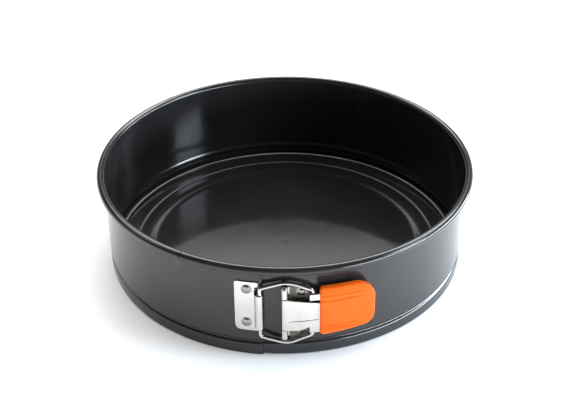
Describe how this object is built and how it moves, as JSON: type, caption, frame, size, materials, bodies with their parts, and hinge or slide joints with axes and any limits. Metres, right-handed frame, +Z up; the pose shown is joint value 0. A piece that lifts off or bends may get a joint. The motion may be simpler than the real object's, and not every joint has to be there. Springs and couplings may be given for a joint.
{
  "type": "springform pan",
  "caption": "Round springform baking pan with a dark non-stick band, a loose base disc, and a toggle latch with a wire loop and an orange grip.",
  "frame": {"origin": "on the pan's vertical axis, in the plane it stands on", "axes": "+Z up along the pan's axis, -Y towards the latch at the front, +X to the right when the latch is faced"},
  "size_m": [0.2512, 0.2521, 0.0671],
  "materials": {
    "nonstick_steel": "dark grey non-stick coating, satin gloss",
    "bright_steel": "bright plated stampings",
    "bright_wire": "polished bent wire",
    "silicone": "matt orange silicone"
  },
  "bodies": {
    "fixed_side": {"band_right": "nonstick_steel", "hinge_plate": "bright_steel", "hinge_pin": "bright_steel", "hinge_rivet_upper": "bright_steel", "hinge_rivet_lower": "bright_steel"},
    "free_side": {"band_left": "nonstick_steel", "catch_plate": "bright_steel", "catch_rivet_upper": "bright_steel", "catch_rivet_lower": "bright_steel"},
    "base": {"base_disc": "nonstick_steel"},
    "lever": {"lever": "bright_steel", "lever_grip": "silicone"},
    "loop": {"wire_loop": "bright_wire"}
  },
  "joints": [
    {"name": "lever_swing", "type": "hinge", "parent": "fixed_side", "child": "lever", "pos_m": [0.0008, -0.1244, 0.0342], "axis": [0, 0, -1], "range_deg": [0, 150]},
    {"name": "loop_swing", "type": "hinge", "parent": "lever", "child": "loop", "pos_m": [0.0177, -0.12293, 0.0342], "axis": [0, 0, 1], "range_deg": [0, 123.2]},
    {"name": "ring_open", "type": "hinge", "parent": "fixed_side", "child": "free_side", "pos_m": [0, 0.1257, 0.0342], "axis": [0, 0, -1], "range_deg": [0, 6.4]},
    {"name": "base_lift", "type": "slide", "parent": "fixed_side", "child": "base", "axis": [0, 0, 1], "range_m": [0, 0.09]}
  ],
  "couplings": [
    {"joint": "loop_swing", "follows": "lever_swing", "ratio": 0.82124},
    {"joint": "ring_open", "follows": "lever_swing", "ratio": 0.042653}
  ]
}
